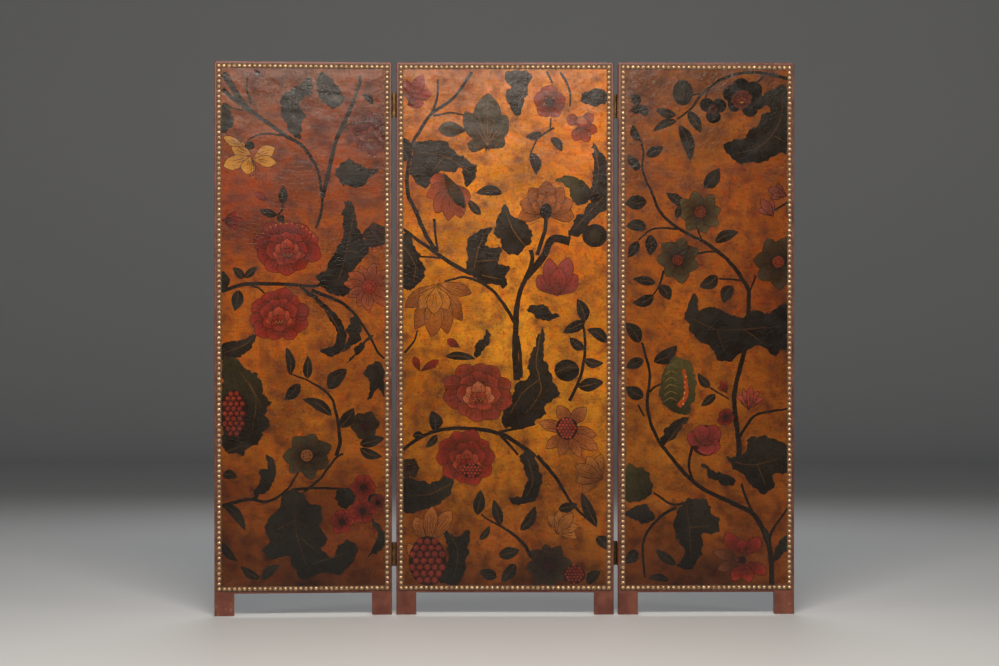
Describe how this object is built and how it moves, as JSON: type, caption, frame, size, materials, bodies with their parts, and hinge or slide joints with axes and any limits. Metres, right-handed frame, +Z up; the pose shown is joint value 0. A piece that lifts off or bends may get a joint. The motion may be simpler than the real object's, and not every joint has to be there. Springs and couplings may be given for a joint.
{
  "type": "folding screen",
  "caption": "Free-standing folding screen: a wide centre panel and two narrower hinged wings, painted canvas on pegged wooden frames edged with dome nails.",
  "frame": {"origin": "on the floor, at the middle of the ground that the open screen stands on", "axes": "+X to the right along the open screen, +Z up, -Y towards the viewer of the painted side"},
  "size_m": [1.7058, 0.1006, 1.625],
  "materials": {
    "painted_wood": "worn red-brown paint",
    "bare_wood": "bare hardwood",
    "painted_canvas": "aged varnished oil paint on canvas",
    "lining_cloth": "plain coarse linen",
    "braid": "woven gimp",
    "nail_brass": "antiqued",
    "tack_steel": "blued cut tacks",
    "hinge_brass": "dull, aged"
  },
  "bodies": {
    "centre_panel": {"centre_left_stile": "painted_wood", "centre_right_stile": "painted_wood", "centre_bottom_rail": "painted_wood", "centre_middle_rail": "painted_wood", "centre_top_rail": "painted_wood", "centre_pegs": "bare_wood", "centre_canvas": "painted_canvas", "centre_lining": "lining_cloth", "centre_braid": "braid", "centre_nails": "nail_brass", "centre_tacks": "tack_steel", "left_upper_hinge_centre_leaf": "hinge_brass", "left_upper_hinge_pin": "hinge_brass", "left_lower_hinge_centre_leaf": "hinge_brass", "left_lower_hinge_pin": "hinge_brass", "left_hinge_screws_in_centre": "hinge_brass", "right_upper_hinge_centre_leaf": "hinge_brass", "right_upper_hinge_pin": "hinge_brass", "right_lower_hinge_centre_leaf": "hinge_brass", "right_lower_hinge_pin": "hinge_brass", "right_hinge_screws_in_centre": "hinge_brass"},
    "left_wing": {"left_left_stile": "painted_wood", "left_right_stile": "painted_wood", "left_bottom_rail": "painted_wood", "left_middle_rail": "painted_wood", "left_top_rail": "painted_wood", "left_pegs": "bare_wood", "left_canvas": "painted_canvas", "left_lining": "lining_cloth", "left_braid": "braid", "left_nails": "nail_brass", "left_tacks": "tack_steel", "left_upper_hinge_wing_leaf": "hinge_brass", "left_lower_hinge_wing_leaf": "hinge_brass", "left_hinge_screws_in_wing": "hinge_brass"},
    "right_wing": {"right_left_stile": "painted_wood", "right_right_stile": "painted_wood", "right_bottom_rail": "painted_wood", "right_middle_rail": "painted_wood", "right_top_rail": "painted_wood", "right_pegs": "bare_wood", "right_canvas": "painted_canvas", "right_lining": "lining_cloth", "right_braid": "braid", "right_nails": "nail_brass", "right_tacks": "tack_steel", "right_upper_hinge_wing_leaf": "hinge_brass", "right_lower_hinge_wing_leaf": "hinge_brass", "right_hinge_screws_in_wing": "hinge_brass"}
  },
  "joints": [
    {"name": "left_wing_fold", "type": "hinge", "parent": "centre_panel", "child": "left_wing", "pos_m": [-0.326, -0.00786, 0.8125], "axis": [0, 0, 1], "range_deg": [-17, 175]},
    {"name": "right_wing_fold", "type": "hinge", "parent": "centre_panel", "child": "right_wing", "pos_m": [0.326, 0.03534, 0.8125], "axis": [0, 0, 1], "range_deg": [-14, 178]}
  ]
}
